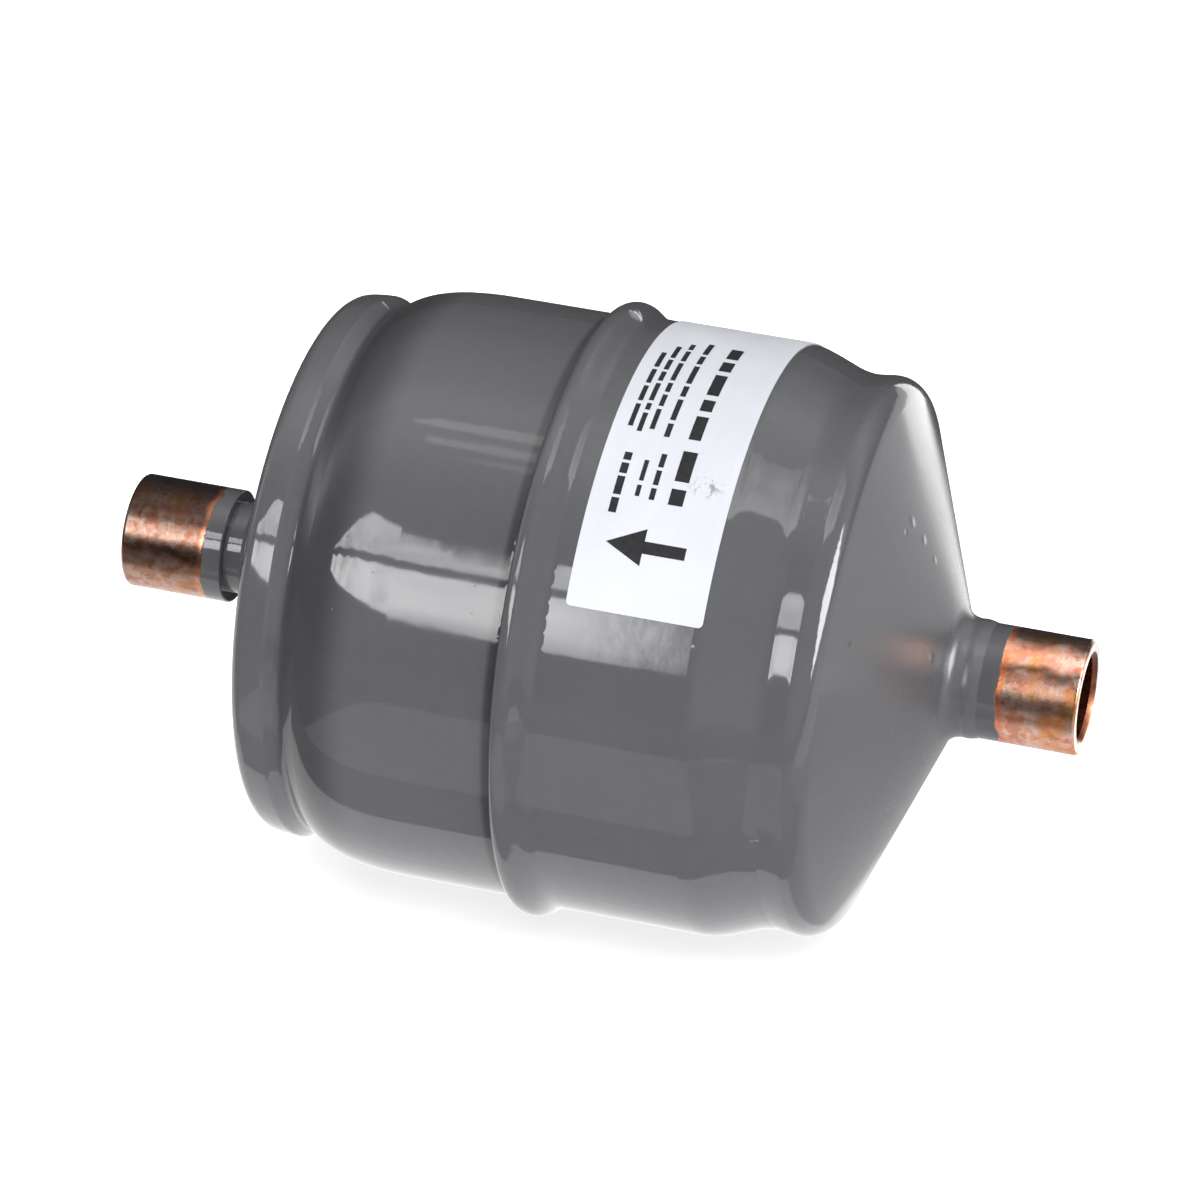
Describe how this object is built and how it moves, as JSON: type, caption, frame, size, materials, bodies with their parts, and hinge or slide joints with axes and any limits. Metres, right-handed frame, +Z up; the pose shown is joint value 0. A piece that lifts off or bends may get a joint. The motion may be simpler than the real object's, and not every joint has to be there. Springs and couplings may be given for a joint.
{
  "type": "filter drier",
  "caption": "Liquid-line filter drier: two drawn steel cups welded at a girth bead, solder sockets at both ends, desiccant core inside.",
  "frame": {"origin": "on the axis of the body, half-way between the two open socket ends, which is the centre of the bounding box", "axes": "+X along the axis towards the inlet socket on the cone end, -X towards the outlet, +Z up; the label's foot lies on the -Y side and the label runs up over the top"},
  "size_m": [0.1096, 0.069, 0.069],
  "materials": {
    "shell_enamel": "glossy mid-grey enamel",
    "weld_enamel": "glossy mid-grey enamel over a smooth weld bead",
    "copper": "bare copper with heat tint, grey overspray near the shell",
    "braze": "braze fillet under grey enamel",
    "label_film": "satin white film with a plain flow arrow and print bars",
    "plated_steel": "zinc-plated sheet",
    "filter_fibre": "felted polyester fibre",
    "desiccant": "moulded porous desiccant",
    "spring_steel": "drawn spring wire"
  },
  "bodies": {
    "root": {"inlet_shell": "shell_enamel", "outlet_shell": "shell_enamel", "girth_weld": "weld_enamel", "inlet_fitting": "copper", "outlet_fitting": "copper", "inlet_braze_ring": "braze", "outlet_braze_ring": "braze", "label": "label_film", "outlet_plate": "plated_steel", "outlet_filter_pad": "filter_fibre", "desiccant_core": "desiccant", "spring_plate": "plated_steel", "inlet_spring": "spring_steel"}
  },
  "joints": []
}
